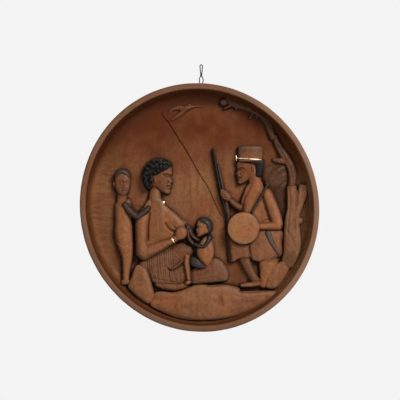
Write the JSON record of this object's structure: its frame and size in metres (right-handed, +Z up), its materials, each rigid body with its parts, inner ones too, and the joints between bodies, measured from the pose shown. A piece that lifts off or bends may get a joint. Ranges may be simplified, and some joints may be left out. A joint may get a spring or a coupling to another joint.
{
  "type": "carved wooden wall plaque",
  "caption": "Round wooden wall plaque, hollowed like a shallow dish, its floor carved in high relief with a family scene under a tree, hung by a wire loop at the top.",
  "frame": {"origin": "centre of the flat back face, which lies against the wall", "axes": "+Z up along the wall as the plaque hangs, +Y into the wall, so the carved front faces -Y; +X to the right as seen from the front"},
  "size_m": [0.4796, 0.06, 0.5395],
  "materials": {
    "carved_wood": "waxed red-brown hardwood, stained nearly black on hair and some limbs, worn lighter on the rim",
    "brass_trim": "polished",
    "hanging_wire": "dull"
  },
  "bodies": {
    "root": {"plaque": "carved_wood", "cap_band": "brass_trim", "bracelet": "brass_trim", "neck_bead": "brass_trim", "hanging_wire": "hanging_wire"}
  },
  "joints": []
}
